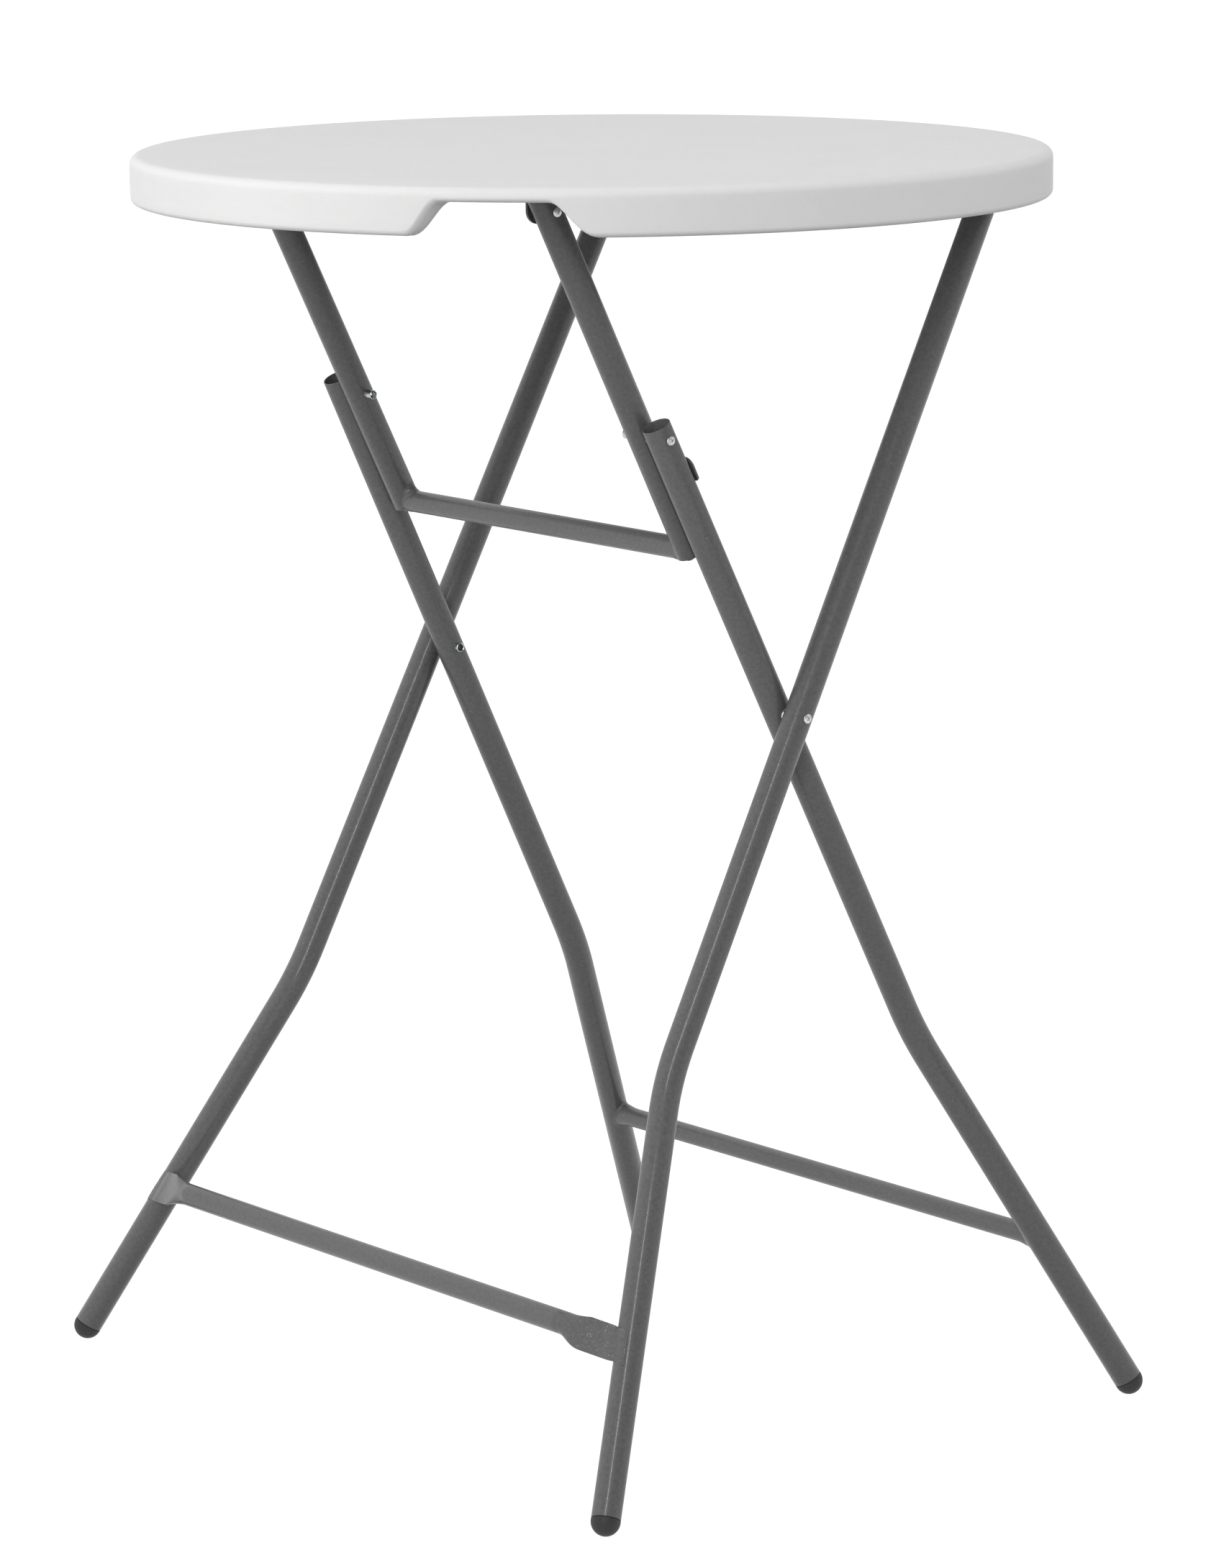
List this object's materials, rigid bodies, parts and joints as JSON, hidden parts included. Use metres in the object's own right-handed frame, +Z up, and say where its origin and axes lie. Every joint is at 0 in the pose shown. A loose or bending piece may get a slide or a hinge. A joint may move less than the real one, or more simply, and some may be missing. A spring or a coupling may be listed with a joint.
{
  "type": "folding bar table",
  "caption": "Round bar-height table with a moulded top with a deep rim, crossed tube legs that fold flat under it, a folding link with stop plates, foot bars and foot caps.",
  "frame": {"origin": "on the floor under the middle of the table top", "axes": "+Z up, X along the foot bars, the outer legs stand towards -Y and the inner legs towards +Y"},
  "size_m": [0.8078, 0.8, 1.0998],
  "materials": {
    "top_plastic": "blow-moulded white plastic with a fine grain",
    "powder_coat": "satin grey powder coat on steel",
    "zinc_plate": "bright zinc plate",
    "cap_plastic": "dark grey moulded plastic"
  },
  "bodies": {
    "top": {"table_top": "top_plastic", "outer_hinge_bracket_left": "powder_coat", "outer_hinge_bolt_left": "zinc_plate", "outer_hinge_nut_left": "zinc_plate", "outer_bracket_screw_left_1": "zinc_plate", "outer_bracket_screw_left_2": "zinc_plate", "link_hinge_bracket_left": "powder_coat", "link_hinge_bolt_left": "zinc_plate", "link_hinge_nut_left": "zinc_plate", "link_bracket_screw_left_1": "zinc_plate", "link_bracket_screw_left_2": "zinc_plate", "outer_hinge_bracket_right": "powder_coat", "outer_hinge_bolt_right": "zinc_plate", "outer_hinge_nut_right": "zinc_plate", "outer_bracket_screw_right_1": "zinc_plate", "outer_bracket_screw_right_2": "zinc_plate", "link_hinge_bracket_right": "powder_coat", "link_hinge_bolt_right": "zinc_plate", "link_hinge_nut_right": "zinc_plate", "link_bracket_screw_right_1": "zinc_plate", "link_bracket_screw_right_2": "zinc_plate"},
    "outer_frame": {"outer_foot_bar": "powder_coat", "outer_leg_left": "powder_coat", "outer_foot_cap_left": "cap_plastic", "crossing_bolt_left": "zinc_plate", "crossing_washer_left": "zinc_plate", "outer_leg_right": "powder_coat", "outer_foot_cap_right": "cap_plastic", "crossing_bolt_right": "zinc_plate", "crossing_washer_right": "zinc_plate"},
    "folding_link": {"link_bar": "powder_coat", "link_tube_left": "powder_coat", "stop_plate_left": "powder_coat", "pivot_barrel_nut_left": "zinc_plate", "link_tube_right": "powder_coat", "stop_plate_right": "powder_coat", "pivot_barrel_nut_right": "zinc_plate"},
    "inner_frame": {"inner_foot_bar": "powder_coat", "inner_leg_left": "powder_coat", "inner_foot_cap_left": "cap_plastic", "pivot_bolt_left": "zinc_plate", "pivot_washer_left": "zinc_plate", "crossing_barrel_nut_left": "zinc_plate", "inner_leg_right": "powder_coat", "inner_foot_cap_right": "cap_plastic", "pivot_bolt_right": "zinc_plate", "pivot_washer_right": "zinc_plate", "crossing_barrel_nut_right": "zinc_plate"}
  },
  "joints": [
    {"name": "outer_frame_hinge", "type": "hinge", "parent": "top", "child": "outer_frame", "pos_m": [0, 0.236, 1.071], "axis": [1, 0, 0], "range_deg": [-63.07, 0]},
    {"name": "link_hinge", "type": "hinge", "parent": "top", "child": "folding_link", "pos_m": [0, -0.202, 1.071], "axis": [1, 0, 0], "range_deg": [0, 63.72]},
    {"name": "inner_frame_hinge", "type": "hinge", "parent": "folding_link", "child": "inner_frame", "pos_m": [0, -0.10582, 0.87624], "axis": [1, 0, 0], "range_deg": [-179.66, 0]}
  ],
  "couplings": [
    {"joint": "link_hinge", "follows": "outer_frame_hinge", "ratio": -1.0102},
    {"joint": "inner_frame_hinge", "follows": "outer_frame_hinge", "ratio": 2.8485}
  ]
}
